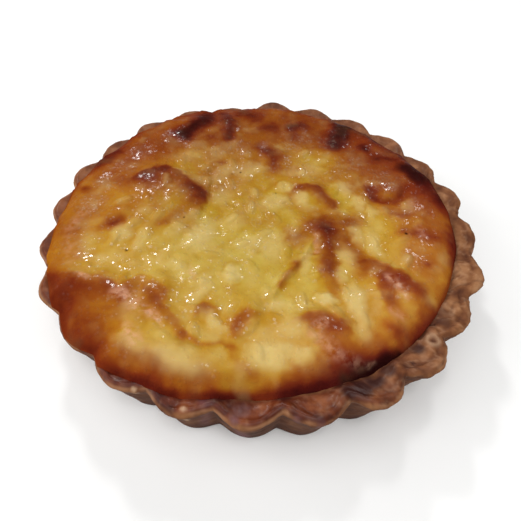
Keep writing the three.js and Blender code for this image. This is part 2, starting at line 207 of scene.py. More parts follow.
# Broad amber parts of the skin: points, half width, softness, strength.
AMBER = [
    ([(-38, 20), (-33, 5)], 8, 9, 0.28), ([(-26, 30), (-15, 32)], 6, 8, 0.3),
    ([(-12, 38), (-3, 30), (6, 24)], 5, 6, 0.16), ([(0, 34), (18, 37)], 6, 8, 0.3), ([(30, 25)], 8, 8, 0.34),
    ([(34, 10), (42, 5)], 7, 7, 0.3), ([(37, 15), (44, 14)], 3, 4, 0.24),
    ([(-42, 14), (-34, 12)], 4, 5, 0.12), ([(-42, 27), (-34, 25)], 5, 6, 0.14),
    ([(41, -12), (45, -10)], 3, 4, 0.14), ([(46, 16), (50, 4)], 4, 5, 0.12),
    ([(40, -6), (42, -16)], 4, 5, 0.22), ([(42, -20), (38, -33)], 3, 4, 0.08),
    ([(22.5, -9), (27, -18)], 3, 3.5, 0.46), ([(-45, -5)], 6, 7, 0.25), ([(-49, 8), (-46, 20)], 4, 5, 0.05),
    ([(-50, -10), (-48, -18)], 3, 5, 0.26), ([(-40, -31), (-27, -33)], 4, 6, 0.3),
    ([(-38, -38), (-33, -44)], 3, 5, 0.12), ([(30, -34), (22, -42)], 7, 8, 0.03),
    ([(-28, -46), (-12, -50)], 3.5, 4, 0.36), ([(7, -4), (9, -12)], 3, 4, 0.04),
    ([(22, 0), (11, 5)], 4, 4, 0.12), ([(-24, -2), (-21, -6)], 2.5, 3, 0.16),
    ([(8, 19), (26, 16)], 5, 6, 0.22), ([(-10, 27), (-3, 22)], 6, 6, 0.18), ([(-2, 4)], 8, 8, 0.16),
    ([(-15, 14)], 8, 8, 0.28),
]
# Painted highlights, a pinkish sheen on the front of puffs: points, half width, softness, strength.
PAINTED_SHEEN = [
    ([(-45.2, -24.2), (-43, -25.5)], 0.5, 1, 0.6),
    ([(-34, -29.5), (-30.5, -31), (-28.5, -33.5)], 1.2, 1.8, 0.65),
    ([(-26, -34), (-22.5, -37.5)], 0.8, 1.2, 0.65), ([(-29.5, -39.5), (-27, -42)], 1.2, 1.5, 0.6),
    ([(17, -43), (22, -45)], 1, 2, 0.3), ([(-17.5, -20.5), (-16.5, -23.5)], 0.6, 1, 0.35),
    ([(-51, -13), (-48, -20)], 1, 2, 0.25), ([(32.3, -20.8), (34, -23.2)], 0.8, 1.3, 0.55),
    ([(35, -25), (36, -27)], 0.6, 1.2, 0.4), ([(32, -30.5), (34, -32.5)], 0.7, 1.2, 0.35),
    ([(14, -36), (15.5, -35)], 0.7, 1.2, 0.6), ([(13, -38.5), (17, -42)], 1.2, 2, 0.35),
    ([(24.5, -46), (26, -44.5)], 0.3, 0.8, 0.35), ([(14.6, -7), (14.4, -13)], 0.5, 1, 0.45),
    ([(-50, -2), (-52, -9)], 0.9, 1.6, 0.3), ([(43.5, -3), (44.5, -5.5)], 0.8, 1.6, 0.28),
    ([(42, 5), (44, 9)], 0.8, 1.6, 0.25),
]
# Wettest places, where the skin glints: x, y, radius, strength.
WET = [
    (-48, 0, 6, 0.9), (-40, 25, 5, 0.6), (-43, 18, 4, 0.6), (-31, 35, 4, 0.7), (-24, 31, 4, 0.5),
    (-34, 14, 5, 0.5), (-31, 7, 5, 0.6), (-25, 0, 3, 0.8), (-15, 45, 6, 0.4), (-9, 29, 5, 0.8),
    (-1.5, 32, 2.5, 0.9), (12, 37, 4, 1), (8, 31.5, 4, 1), (20, 35, 4, 1), (13, 25, 6, 0.7),
    (28, 24, 5, 0.7), (4, 22, 5, 0.6), (22, 20, 5, 0.6), (24, 42, 4, 0.5), (10, 43, 3, 0.4),
    (-5, 19, 6, 0.6), (15, 17, 5, 0.6), (36, 17, 6, 1), (31, 11, 3, 0.8), (0, -4, 5, 0.8), (-6, 3, 5, 0.6),
    (-17, -5, 4, 0.5), (-30, -14, 3, 0.6), (-19, -22, 4, 0.6), (-10, -36, 3, 0.7), (10, -30, 3, 0.9),
    (34, -25, 4, 0.9), (41, -11, 5, 0.5), (43, 6, 4, 0.5), (-46, 10, 5, 0.7), (-20, 20, 5, 0.4),
    (-12, -12, 6, 0.3), (16, -36, 4, 0.5), (-14, 12, 5, 0.4), (28, 2, 4, 0.5), (22, -27, 4, 0.5),
]
# Nearly black marks: points, half width, softness, strength.
CHAR = [
    ([(-22.5, 44.5), (-25, 41.5), (-27.5, 38.5)], 1.9, 2.3, 0.55),
    ([(-28.5, 37), (-26.8, 35)], 1.2, 1.8, 0.3), ([(26.5, 45.3), (24.5, 39.5)], 2.2, 2.4, 0.55),
    ([(43.8, 23.8), (46.2, 20)], 2.3, 2, 0.8), ([(22, -50.3), (26, -47.5), (31, -43.8)], 2.3, 1.3, 0.97),
    ([(33.5, -41.8), (37.5, -38.8)], 0.7, 1.2, 0.6),
]
# Small dark specks: x, y, radius, strength.
SPECKS = [
    (-7.6, 17.5, 0.2, 1), (-10, 16.6, 0.18, 1), (3.4, 8.9, 0.16, 1), (-35, -16, 0.3, 1),
    (39.5, -5, 0.35, 1), (-22, -3, 0.2, 1),
]
# Pale clots of rice that show in the skin: middle, half length, half width, turn in degrees, strength.
CLOTS = [
    (-22, 31, 3.4, 2.6, 40, 0.35), (-12.5, 31.5, 3.4, 2.6, 30, 0.35), (-15.5, 27, 2.4, 3.6, 10, 0.3),
    (-24, 25, 4.5, 3, 30, 0.3), (-40.5, 32, 2, 1.4, 40, 0.4), (-29.5, 13, 2.5, 1.4, 100, 0.5),
    (-14, 16, 5, 3, 80, 0.35), (-6, 19, 5, 4, 20, 0.3), (-12, 6, 4, 3, 70, 0.4), (3, 5, 4.5, 3.4, 30, 0.6),
    (6, 12, 3, 2.4, 0, 0.5), (11, 7, 3.6, 2.6, 120, 0.6), (24, 12, 4, 2.4, 110, 0.5),
    (27, 6, 4, 2, 100, 0.55), (31, 2.5, 3.2, 2, 80, 0.5), (14, 20, 4, 3, 30, 0.3), (42, 7, 4, 1.8, 60, 0.3),
    (-38, -10, 4, 2.8, 80, 0.6), (-32, -12, 5, 2, 85, 0.45), (-17, -10, 6, 4.2, 70, 0.7),
    (-7, -22, 3.3, 2, 88, 0.9), (-14, -27, 5, 2, 75, 0.6), (-10, -36.5, 4, 1.8, 130, 0.6),
    (-18, -46.3, 9, 3.8, 168, 0.75), (-27, -43.5, 5, 2.8, 150, 0.5), (-3, -12, 4, 3, 0, 0.5),
    (-22, -20, 3, 2, 20, 0.4), (3, -12, 6, 3.5, 80, 0.5), (11.5, -16, 5, 1.5, 80, 0.5),
    (16.5, -28.5, 2.6, 1.5, 0, 1.0), (23.5, -28, 6, 2.2, 92, 0.75), (24.5, -37, 4, 2.6, 95, 0.4),
    (22.5, -15, 5, 2.6, 100, 0.5), (26, -6.5, 4.5, 2.2, 100, 0.55), (30, -9, 5, 2.4, 95, 0.55),
    (8, -37, 4, 3, 60, 0.5), (3, -44.5, 6, 3.4, 15, 0.75), (10, -44, 4, 2.6, 20, 0.6),
    (5, -31, 3, 2.4, 0, 0.6), (20.5, -21, 3, 2, 60, 0.5), (-46, -14, 4, 3, 80, 0.3),
    (-8, -4, 4, 3, 30, 0.4), (-24, -8, 3.5, 2.4, 60, 0.35),
]
# Crinkled places: middle, half length, half width.
CRINKLED = [(-17, -46, 10, 4.5), (7, -45, 8, 5), (-34, -33, 7, 5), (17, -36, 5, 4), (34, -24, 5, 6)]
PAINTED_CRINKLE_SHADE = 0.07  # painted shade in a crinkle's furrow, and painted light on its crest
# Browning along the skin's edge, from +X towards +Y: strength and width in mm of a wide and a narrow band.
EDGE_TAN = [0.32, 0.53, 0.57, 0.48, 0.48, 0.46, 0.44, 0.36, 0.3, 0.24, 0.28, 0.28, 0.24, 0.14, 0.14, 0.14]
TAN_WIDTH = [12, 18, 20, 22, 22, 23, 21, 16, 14, 9, 11, 6, 5, 7, 9, 11]
EDGE_BROWN = [0.5, 0.72, 0.58, 0.4, 0.25, 0.3, 0.26, 0.5, 0.2, 0.16, 0.5, 0.5, 0.4, 0.68, 0.55, 0.2]
BROWN_WIDTH = [4, 8, 7, 6, 6, 7, 7, 5.5, 4, 4, 6, 3.6, 2.8, 4.6, 4, 2.8]

# ---- Marks on the pastry ----
# How much of the lip's inner side is glazed with browned custard, from +X towards +Y.
GLAZE = [0.1, 0.3, 0.5, 0.5, 0.5, 0.5, 0.6, 0.7, 0.8, 0.9, 1, 1, 1, 0.85, 0.3, 0.1]
# How strongly and how far, in mm, custard has stained the pastry beside the skin, from +X towards +Y.
STAIN = [0.4, 0.8, 0.9, 0.9, 0.8, 0.7, 0.5, 0.3, 0.2, 0.2, 0.5, 0.9, 1, 1, 0.9, 0.5]
STAIN_WIDTH = [1.2, 1.1, 1.2, 1.2, 1.1, 1, 0.8, 0.8, 0.8, 0.8, 1.2, 2, 2.2, 2.2, 2, 1.6]
# Popped bubbles: x, y, radius, height of the ring, paleness of the ring.
BUBBLES = [
    (41, -37.2, 1.35, 0.35, 0.3), (46.5, -28.3, 1.3, 0.1, 0.06), (52.3, -17, 1.2, 0.1, 0.05),
]
BUBBLE_RING = 0.35  # the ring's half width, as a share of its radius
# Dark spots of the lip: x, y, radius, strength.
CRUST_SPOTS = [
    (37.2, -39.3, 1.8, 0.85), (35.4, -43.1, 0.7, 0.9), (45.2, -31.5, 1.6, 0.6), (33.2, -43.5, 1.6, 0.25),
    (20.5, -50.8, 2.4, 0.9), (23.3, -49.8, 3, 0.95), (26.4, -47.8, 2.8, 0.95), (29.5, -45, 2.2, 0.8),
    (51, -22, 1.0, 0.35), (-3, -55.5, 2.5, 0.5),
]
# Drops of custard on the lip: x, y, radius.
DROPS = [(-14.4, -56.7, 0.65), (-25.5, -52.8, 0.5)]
# Painted highlights, a dull purple sheen on the glazed lip: x, y, radius, strength.
PAINTED_LIP_SHEEN = [
    (-2.2, -56.2, 2.0, 0.6), (-3.8, -58.2, 1.3, 0.5), (-10.5, -55, 1.8, 0.4), (9, -57.6, 1.2, 0.4),
    (14, -58, 1.2, 0.35),
]
# How light the pastry is, from +X towards +Y: 0.5 is even. Partly its baking, partly painted light on the
# left.
CRUST_LIGHT = [0.4, 0.5, 0.5, 0.5, 0.5, 0.5, 0.7, 0.9, 0.9, 0.6, 0.3, 0.2, 0.2, 0.25, 0.4, 0.4]
WELD = 0.95  # rise of glazed pastry between the skin's edge and the lip's crest
GROOVE_INSET = 2.6  # of the groove that parts the thick lip from the flutes' crests
GROOVE_DEPTH = 0.6
GROOVE_WIDTH = 0.7
LIP_LUMPS = 0.35  # height of the lip's lumps
THICK_LIP_LUMPS = 0.8  # added to it where the pastry is thickest
WRINKLED_SPREAD = THICK_LIP_SPREAD + 12
WRINKLES = 0.2
CREASE_DEPTH = 0.18
VEIN_RISE = 0.08
STREAK_WIDTH = 0.1  # of creases and veins, in units of the noise that they follow
DROP_RISE = 0.35
WALL_LUMPS = 0.3

# ---- Fineness ----
CASE_SECTORS = 720
SKIN_SPACING = 0.34
SHOULDER_STEPS = 14
SPILL_STEPS = 6  # from the hollow's wall to the skin's edge
SKIN_RADIUS = 54  # of an even skin with as many points
LEAST_SECTORS = 8
WALL_LEVELS = (0.08, 0.3, 0.55, 0.8)  # shares of the height
CASE_STEPS = [3, 3, 8, 9, 9, 5, 3, 4, 5, 12]  # from the foot up, over the lip and down the hollow


def draw(number):
    """A repeatable draw from 0 to 1 for a whole number, the same one as in the solid."""
    s = math.sin(number * 12.9898 + 4.1414) * 43758.5453
    return s - math.floor(s)


def mix(a, b, share):
    return a + (b - a) * share


def smooth(value, low, high):
    share = np.clip((value - low) / (high - low), 0, 1)
    return share * share * (3 - 2 * share)


def bell(value, width):
    return np.exp(-((value / width) ** 2))


# ---- Noise ----
LATTICE = 65536
_rng = np.random.default_rng(5)
_gradients = _rng.normal(size=(LATTICE, 3))
_gradients /= np.linalg.norm(_gradients, axis=1)[:, None]


def noise(points, size, seed=0):
    """Smooth noise from about -1 to 1 at points in mm, with lumps of a given size."""
    place = points / size
    cell = np.floor(place).astype(np.int64)
    part = place - cell
    fade = part**3 * (part * (part * 6 - 15) + 10)
    total = np.zeros(len(points))
    for corner in itertools.product((0, 1), repeat=3):
        c = cell + corner
        key = (c[:, 0] * 73856093) ^ (c[:, 1] * 19349663) ^ (c[:, 2] * 83492791) ^ (seed * 2654435761)
        gradient = _gradients[key % LATTICE]
        weight = np.prod(np.where(corner, fade, 1 - fade), axis=1)
        total += weight * ((part - corner) * gradient).sum(axis=1)
    return 1.7 * total


def layered(points, size, layers, seed=0):
    """Noise with finer and weaker noise on it."""
    total = sum(noise(points, size / 2**n, seed + n) / 2**n for n in range(layers))
    return total / (2 - 2 ** (1 - layers))


# ---- Forms shared with the solid ----
def near(angle, degrees, spread):
    away = np.angle(np.exp(1j * (angle - math.radians(degrees))))
    return bell(away, math.radians(spread))


def per_flute(angle, seed):
    place = (angle - math.radians(FIRST_FLUTE)) / TURN * FLUTES
    flute = np.floor(place).astype(int)
    values = np.array([2 * draw(seed + n) - 1 for n in range(FLUTES)])
    return mix(values[flute % FLUTES], values[(flute + 1) % FLUTES], smooth(place - flute, 0, 1))


def scallop(angle):
    return np.abs(np.cos(FLUTES / 2 * (angle - math.radians(FIRST_FLUTE)))) ** (2 * FLUTE_ROUNDNESS)


def outer_radius(angle, share):
    bulge = sum(amount * near(angle, degrees, spread) for degrees, spread, amount in BULGES)
    crest = mix(FOOT_RADIUS, LIP_RADIUS, share) + share * (bulge + FLUTE_UNEVENNESS * per_flute(angle, 100))
    slump = sum(near(angle, degrees, SLUMP_SPREAD) for degrees in SLUMPS)
    depth = mix(FOOT_FLUTE_DEPTH, FLUTE_DEPTH, share) * mix(1, SHALLOW_FLUTES, slump)
    return crest - depth * (1 - scallop(angle))


def lip_height(angle):
    raised = RAISED_FLUTE * near(angle, RAISED_FLUTE_ANGLE, RAISED_FLUTE_SPREAD)
    return CASE_HEIGHT + LIP_WAVINESS * per_flute(angle, 300) + raised


def inner_radius(angle):
    shift = INNER_SHIFT * np.cos(angle - math.radians(INNER_SHIFT_ANGLE))
    return INNER_RADIUS + shift - INNER_FLUTE_DEPTH * (1 - scallop(angle))


def hollow_section(angle):
    """The hollow's foot, its top and the lip: radius and height of each point, at every angle."""
    thick = near(angle, THICK_LIP_ANGLE, THICK_LIP_SPREAD)
    outer = outer_radius(angle, 1)
    width = LIP_WIDTH + THICK_LIP * thick
    top = lip_height(angle)
    inner = inner_radius(angle)
    flat = np.ones_like(angle)
    return np.array([
        [INNER_FLOOR_RADIUS * flat, FLOOR * flat],
        [inner, top - mix(SLOPE_DROP, THICK_SLOPE_DROP, thick)],
        [outer - width, top - 0.5 * LIP_ROUNDING],
        [outer - 0.5 * width, top],
        [outer - 0.15 * width, top - 0.35 * LIP_ROUNDING],
        [outer, top - LIP_ROUNDING],
    ])


def spread_table(angle, table):
    """Values of a table that goes round from +X towards +Y, at angles."""
    place = (angle / TURN % 1) * len(table)
    first = np.floor(place).astype(int)
    values = np.array(table, float)
    return mix(values[first % len(values)], values[(first + 1) % len(values)], smooth(place - first, 0, 1))


def skin_reach(angle):
    least = inner_radius(angle) + LEAST_COVER
    return np.minimum(np.maximum(spread_table(angle, SKIN_EDGE), least), outer_radius(angle, 1) - LIP_MARGIN)


def turned(x, y, centre_x, centre_y, degrees):
    """Distances from a centre along and across a direction."""
    c, s = math.cos(math.radians(degrees)), math.sin(math.radians(degrees))
    return (x - centre_x) * c + (y - centre_y) * s, (y - centre_y) * c - (x - centre_x) * s


def swell(x, y, centre_x, centre_y, length, width, degrees, height):
    along, across = turned(x, y, centre_x, centre_y, degrees)
    return height * np.exp(-(((along / length) ** 2 + (across / width) ** 2) ** 1.3))


def skin_height(x, y):
    dome = mix(SUNK, PUFF, smooth(np.hypot(x, y), SUNK_RADIUS, PUFF_RADIUS))
    return CASE_HEIGHT + dome + sum(swell(x, y, *one) for one in SWELLS)


# ---- Distances to listed lines ----
def stretches(x, y, points):
    """Distance from each place to each stretch of a line, and how far left of the stretch the place lies."""
    for (ax, ay), (bx, by) in zip(points[:-1], points[1:]):
        dx, dy = bx - ax, by - ay
        share = np.clip(((x - ax) * dx + (y - ay) * dy) / (dx * dx + dy * dy), 0, 1)
        away = np.hypot(x - ax - share * dx, y - ay - share * dy)
        yield away, ((y - ay) * dx - (x - ax) * dy) / math.hypot(dx, dy)


def distance_to(x, y, points):
    """Distance from each place to a line through points, or to one point."""
    if len(points) == 1:
        return np.hypot(x - points[0][0], y - points[0][1])
    return np.min([away for away, _ in stretches(x, y, points)], axis=0)


def painted(x, y, marks, halo=0.0):
    """How strongly marks cover each place, from 0 to 1, with a weaker and wider halo if one is given."""
    bare = np.ones(len(x))
    for points, half_width, softness, strength in marks:
        away = distance_to(x, y, points)
        bare *= 1 - strength * (1 - smooth(away, half_width - softness, half_width + softness))
        if halo:
            wide = half_width + HALO_WIDTH
            bare *= 1 - halo * strength * (1 - smooth(away, wide - softness - HALO_WIDTH, wide + softness))
    return 1 - bare


def ledge(x, y, points, sharp, reach):
    """How far each place is on a step: full on the line, a short fall on its left, a long one right."""
    best = np.full(len(x), 1e9)
    side = np.zeros(len(x))
    for away, across in stretches(x, y, points):
        side = np.where(away < best, across / np.maximum(away, 1e-6), side)
        best = np.minimum(best, away)
    left = smooth(side, -0.6, 0.6)
    return mix(bell(best, reach), 1 - smooth(best, 0, sharp), left)


def clot(x, y, centre_x, centre_y, length, width, degrees):
    """How far each place is on a clot, and how far in the furrow around it."""
    along, across = turned(x, y, centre_x, centre_y, degrees)
    away = np.hypot(along / length, across / width)
    return 1 - smooth(away, 0.3, 1.35), bell(away - 1.35, 0.3)


def spots(x, y, table, inner, outer, ragged=0.0):
    """How strongly round spots cover each place, fading between two shares of their radius."""
    covered = np.zeros(len(x))
    for spot_x, spot_y, size, strength in table:
        away = np.hypot(x - spot_x, y - spot_y) + ragged
        covered = np.maximum(covered, strength * (1 - smooth(away, inner * size, outer * size)))
    return covered


def together(*covers):
    """What marks that lie over each other cover, from 0 to 1."""
    return 1 - math.prod(1 - cover for cover in covers)


# ---- Rice ----
def grain_list():
    """The solid's grains, then the curds between them: x, y, turn, half length, half width, rise."""
    grains = []
    for n in range(GRAINS):
        radius = GRAIN_FIELD * math.sqrt((n + 0.5) / GRAINS) + 1.6 * (draw(n + 500) - 0.5)
        angle = math.radians(n * GOLDEN_ANGLE) + 0.12 * (draw(n + 600) - 0.5)
        size = 0.85 + 0.3 * draw(n + 800)
        half = (0.5 * GRAIN_LENGTH * size, 0.5 * GRAIN_WIDTH * size)
        grains.append((radius * math.cos(angle), radius * math.sin(angle), math.pi * draw(n + 700), *half,
                       GRAIN_RISE * size))
    rng = np.random.default_rng(CURD_SEED)
    for _ in range(CURDS):
        radius = CURD_FIELD * math.sqrt(rng.random())
        angle = TURN * rng.random()
        half = rng.uniform(1.3, 2.6)
        grains.append((radius * math.cos(angle), radius * math.sin(angle), math.pi * rng.random(), half,
                       half * rng.uniform(0.5, 0.85), rng.uniform(0.05, 0.22)))
    return grains


def rice_relief(x, y):
    """Height of the grains' and curds' backs over the skin, and how far each place is on a grain."""
    height = np.zeros(len(x))
    cover = np.zeros(len(x))
    for gx, gy, turn, half_length, half_width, rise in grain_list():
        close = np.nonzero((np.abs(x - gx) < half_length + 1) & (np.abs(y - gy) < half_length + 1))[0]
        dx, dy = x[close] - gx, y[close] - gy
        along = (dx * math.cos(turn) + dy * math.sin(turn)) / half_length
        across = (dy * math.cos(turn) - dx * math.sin(turn)) / half_width
        back = np.clip(1 - np.abs(along) ** 2.4 - np.abs(across) ** 2, 0, 1)
        lump = rise * smooth(back, 0, 1)
        height[close] = np.maximum(height[close], lump) + 0.3 * np.minimum(height[close], lump)
        halo = np.clip(1 - (along / 1.15) ** 2 - (across / 1.35) ** 2, 0, 1)
        cover[close] = np.maximum(cover[close], smooth(halo, 0, 1) * min(1, rise / GRAIN_RISE))
    return height, cover


# ---- Meshes ----
def loft(rings):
    """Faces that join rings of any counts, outwards from the first."""
    starts = np.cumsum([0] + [len(one) for one in rings])
    faces = []
    for r in range(len(rings) - 1):
        n, m = len(rings[r]), len(rings[r + 1])
        a, b = int(starts[r]), int(starts[r + 1])
        lower_steps, upper_steps = (n if n > 1 else 0), (m if m > 1 else 0)
        i = j = 0
        while i < lower_steps or j < upper_steps:
            lower = j >= upper_steps or (i < lower_steps and (i + 1) * upper_steps <= (j + 1) * lower_steps)
            if lower:
                faces.append((a + i % n, a + (i + 1) % n, b + j % m))
                i += 1
            else:
                faces.append((a + i % n, b + (j + 1) % m, b + j % m))
                j += 1
    return np.concatenate(rings), faces


def ring_points(angle, radius, height):
    return np.stack([radius * np.cos(angle), radius * np.sin(angle), height * np.ones_like(angle)], axis=1)


def angles(count):
    return math.radians(FIRST_FLUTE) + np.arange(count) / count * TURN


def add_object(name, data):
    made = bpy.data.objects.new(name, data)
    bpy.context.scene.collection.objects.link(made)
    return made


def aim(made, right, up, back, place):
    made.matrix_world = Matrix([[right[i], up[i], back[i], place[i]] for i in range(3)] + [[0, 0, 0, 1]])


def make_object(name, points, faces, masks, material):
    """A smooth mesh object from points in mm, with masks as point attributes."""
    low, high = (np.array(corner) for corner in cad_box)
    mesh = bpy.data.meshes.new(name)
    mesh.from_pydata(np.clip(points / 1000, low, high).tolist(), [], faces)
    mesh.update()
    mesh.polygons.foreach_set("use_smooth", np.ones(len(mesh.polygons), bool))
    for key, values in masks.items():
        mesh.attributes.new(key, "FLOAT", "POINT").data.foreach_set("value", values.astype(np.float32))
    mesh.materials.append(material)
    return add_object(name, mesh)


# ---- The camera, from the photograph ----
CAMERA_PLACE = np.array([0, -93.58, CASE_HEIGHT + 92.31])
CAMERA_RIGHT = (0.99871584, 0.03935779, 0.03190042)
CAMERA_UP = (-0.05065152, 0.76268966, 0.64477819)
CAMERA_LENS = 31.68


def mark_plane(points):
    """Where each place shows on the level plane that the marks are read on."""
    share = (CAMERA_PLACE[2] - CASE_HEIGHT - MARK_HEIGHT) / (CAMERA_PLACE[2] - points[:, 2])
    x = CAMERA_PLACE[0] + (points[:, 0] - CAMERA_PLACE[0]) * share
    y = CAMERA_PLACE[1] + (points[:, 1] - CAMERA_PLACE[1]) * share
    return x, y


# ---- The filling ----
def contact_line(angle):
    """The hollow and the lip, moved into the filling by the gap."""
    line = hollow_section(angle)
    count = len(line)

    def left_of(a, b):
        length = np.hypot(b[0] - a[0], b[1] - a[1])
        return np.array([(a[1] - b[1]) / length, (b[0] - a[0]) / length])

    moved = [line[0] + np.array([[-GAP], [GAP]])]
    for i in range(1, count):
        before = left_of(line[i - 1], line[i])
        after = before if i == count - 1 else left_of(line[i], line[i + 1])
        middle = before + after
        moved.append(line[i] + middle * (2 * GAP / (middle**2).sum(axis=0)))
    return np.array(moved)


def along_contact(angle, radius):
    """Height of the contact line at a radius outside the hollow's wall."""
    line = contact_line(angle)[1:]
    height = line[0, 1].copy()
    for a, b in zip(line[:-1], line[1:]):
        share = np.clip((radius - a[0]) / (b[0] - a[0]), 0, 1)
        height = np.where(radius >= a[0], mix(a[1], b[1], share), height)
    return height


def skin_ring(count, inset):
    """A ring of the skin, inset from its edge, before the fine relief."""
    angle = angles(count)
    reach = skin_reach(angle)
    gap = inset(reach)
    radius = reach - gap
    foot = along_contact(angle, reach) + 0.02
    steepness = mix(0.5, 0.68, spread_table(angle, GLAZE)) + 0.4 * spread_table(angle, MERGED)
    rise = (1 - np.maximum(0, 1 - gap / SHOULDER) ** 2) ** steepness
    lift = (lip_height(angle) - CASE_HEIGHT) * np.maximum(0, 1 - gap / (2 * SHOULDER))
    full = skin_height(radius * np.cos(angle), radius * np.sin(angle)) + lift
    return ring_points(angle, radius, mix(foot, full, rise)), gap * np.ones_like(angle)


def hidden_rings(sectors):
    """The filling's underside, its wall, and its face on the lip."""
    angle = angles(sectors)
    line = contact_line(angle)
    reach = skin_reach(angle)
    rings = [np.array([[0, 0, FLOOR + GAP]])]
    rings += [ring_points(angle, *line[n]) for n in (0, 1)]
    for n in range(1, SPILL_STEPS + 1):
        radius = mix(line[1, 0], reach, n / SPILL_STEPS)
        rings.append(ring_points(angle, radius, along_contact(angle, radius)))
    return rings


def skin_rings(sectors):
    """The skin's rings from its edge to its middle, each with its inset from the edge."""
    made = []
    for n in range(1, SHOULDER_STEPS + 1):
        share = 1 - math.cos(n / SHOULDER_STEPS * math.pi / 2)
        made.append(skin_ring(sectors, lambda reach: share * SHOULDER))
    inner = SKIN_RADIUS - SHOULDER
    steps = round(inner / SKIN_SPACING)
    for n in range(1, steps):
        share = 1 - n / steps
        count = max(LEAST_SECTORS, round(TURN * inner * share / SKIN_SPACING))
        made.append(skin_ring(count, lambda reach: reach - share * (reach - SHOULDER)))
    middle = float(skin_height(np.zeros(1), np.zeros(1))[0])
    made.append((np.array([[0, 0, middle]]), np.array([float(SKIN_RADIUS)])))
    return made


class Skin:
    """Places on the skin: how far in they lie, and where the marks that fall on them are read."""

    def __init__(self, points, inset):
        self.inset = inset
        self.x = points[:, 0]
        self.y = points[:, 1]
        self.out = np.hypot(self.x, self.y)
        self.turn = np.arctan2(self.y, self.x)
        self.flat = np.stack([self.x, self.y, np.zeros_like(self.x)], axis=1)
        self.mark_x, self.mark_y = mark_plane(points)
        self.warp_x = WARP * self.noise(5, 21) + FINE_WARP * self.noise(1.8, 22)
        self.warp_y = WARP * self.noise(5, 23) + FINE_WARP * self.noise(1.8, 24)

    def noise(self, size, seed):
        return noise(self.flat, size, seed)

    def marks(self, share):
        """Where marks are read, moved by a share of the warp that makes their outlines uneven."""
        return self.mark_x + share * self.warp_x, self.mark_y + share * self.warp_y

    def around(self, table):
        return spread_table(self.turn, table)


def skin_browning(skin):
    """How brown and how charred the skin is, and the height of the steps of its browned puffs."""
    seen = skin.marks(1)
    darkening = painted(*seen, BROWN, HALO)
    steps = np.zeros(len(skin.x))
    for points, sharp, reach, strength, height in LEDGES:
        darkening = together(darkening, strength * ledge(*seen, points, sharp, reach))
        steps += height * ledge(*seen, points, 2 * sharp, reach)
    ragged = skin.inset + 1.6 * skin.noise(6, 25) + 0.8 * skin.noise(2.5, 26)
    tan = skin.around(EDGE_TAN) * (1 - smooth(ragged / skin.around(TAN_WIDTH), 0.45, 1.25))
    rim = skin.around(EDGE_BROWN) * (1 - smooth(ragged / skin.around(BROWN_WIDTH), 0, 1))
    base = np.clip(0.14 + 0.0016 * skin.y + 0.10 * skin.noise(14, 27) + 0.08 * skin.noise(5, 28), 0, 1)
    darkened = together(darkening, painted(*seen, AMBER), tan, rim, base)
    char = np.maximum(painted(*seen, CHAR), spots(skin.mark_x, skin.mark_y, SPECKS, 0.5, 2))
    return darkened, char, steps


def skin_clots(skin):
    """How far each place is on a pale clot, and in the furrow around one."""
    clots = np.zeros(len(skin.x))
    furrows = np.zeros(len(skin.x))
    for *form, strength in CLOTS:
        inside, rim_line = clot(*skin.marks(1.2), *form)
        clots = np.maximum(clots, strength * inside)
        furrows = np.maximum(furrows, strength * rim_line)
    furrows *= (1 - smooth(clots, 0.15, 0.5)) * smooth(skin.noise(6, 43), -0.3, 0.4)
    return clots, furrows


def skin_crinkles(skin):
    """How crinkled the skin is, from -1 in a crinkle's furrow to 1 on its crest."""
    crinkled = np.zeros(len(skin.x))
    for middle_x, middle_y, half_length, half_width in CRINKLED:
        away = np.hypot((skin.mark_x - middle_x) / half_length, (skin.mark_y - middle_y) / half_width)
        crinkled = np.maximum(crinkled, 1 - smooth(away, 0.4, 1.2))
    return crinkled * noise(skin.flat * (0.6, 1.5, 1), 2.2, 48)


def edge_lines(skin):
    """The dark line where the skin is merged with the lip, and the thinner painted shade behind."""
    seam = skin.inset + 0.15 * skin.noise(3, 44) + 0.35 * skin.noise(9, 45)
    merged = skin.around(MERGED) * (1 - smooth(seam, 0.5, 2.2))
    dark_line = merged * mix(0.6, 1, smooth(skin.noise(9, 46), -0.5, 0.4))
    # the second is painted shade along the gap between the skin and the lip
    return MERGED_LINE * dark_line, skin.around(PAINTED_GAP_SHADE) * (1 - smooth(seam, 0.3, 1.3))


def skin_gloss(skin, darkened, char):
    """How glossy and how wet the skin is: dull where brown or charred, on the front slope and back left."""
    damp = smooth(skin.noise(7, 36) + 0.6 * skin.noise(3, 37) - 0.012 * skin.x, -0.35, 0.45)
    sloping = smooth(-skin.y, 20, 36) * (1 - smooth(skin.inset, 9, 15))
    dull = (1 - 0.7 * smooth(darkened, 0.45, 0.7)) * (1 - 0.8 * sloping) * (1 - 0.9 * char)
    dull *= 1 - 0.85 * near(skin.turn, 145, 48) * smooth(skin.out, 22, 40)
    wet = spots(*skin.marks(1), WET, 0.4, 1.3)
    wet = smooth(skin.inset, 1, 4) * wet * (1 - 0.7 * char) * (1 - 0.4 * smooth(darkened, 0.45, 0.75))
    return smooth(skin.inset, 1, 5) * (0.2 + 0.7 * damp) * dull, wet


